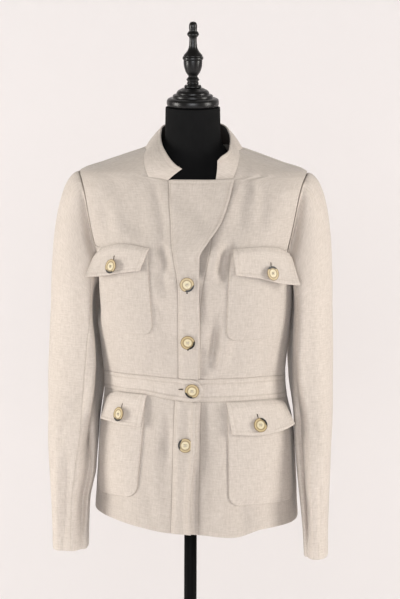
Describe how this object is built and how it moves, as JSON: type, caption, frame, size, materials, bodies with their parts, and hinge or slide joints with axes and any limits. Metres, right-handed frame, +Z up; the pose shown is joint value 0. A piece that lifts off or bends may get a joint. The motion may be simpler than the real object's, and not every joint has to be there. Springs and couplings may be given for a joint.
{
  "type": "linen jacket on a dress form",
  "caption": "Fitted linen jacket with stand collar, turned lapel, tabbed waistband and flapped patch pockets, buttoned on a limbless dress form with finial, pole and round base.",
  "frame": {"origin": "centre of the base's underside on the floor, under the pole", "axes": "+Z up along the pole, -Y out of the jacket's buttoned front, +X to the wearer's left"},
  "size_m": [0.4576, 0.36, 1.6138],
  "materials": {
    "linen": "plain-woven natural linen, matt, with fine slubs",
    "horn": "cream horn with a dark streak, polished rim",
    "form_cloth": "matt black jersey cover",
    "gloss_black": "turned wood, gloss black paint",
    "black_metal": "satin black paint"
  },
  "bodies": {
    "root": {"back_bodice": "linen", "button_front_1": "horn", "button_front_2": "horn", "button_front_3": "horn", "button_front_4": "horn", "button_lower_left": "horn", "button_lower_right": "horn", "button_upper_left": "horn", "button_upper_right": "horn", "collar": "linen", "flap_lower_left": "linen", "flap_lower_right": "linen", "flap_upper_left": "linen", "flap_upper_right": "linen", "form_base": "black_metal", "form_cap": "gloss_black", "form_finial": "gloss_black", "form_pole": "black_metal", "form_torso": "form_cloth", "front_bodice_left": "linen", "front_bodice_right": "linen", "placket_bodice_left": "linen", "placket_bodice_right": "linen", "placket_skirt_left": "linen", "placket_skirt_right": "linen", "pocket_lower_left": "linen", "pocket_lower_right": "linen", "pocket_upper_left": "linen", "pocket_upper_right": "linen", "skirt_back": "linen", "skirt_left": "linen", "skirt_right": "linen", "sleeve_under_left": "linen", "sleeve_under_right": "linen", "sleeve_upper_left": "linen", "sleeve_upper_right": "linen", "waistband_back": "linen", "waistband_left": "linen", "waistband_right": "linen"}
  },
  "joints": []
}
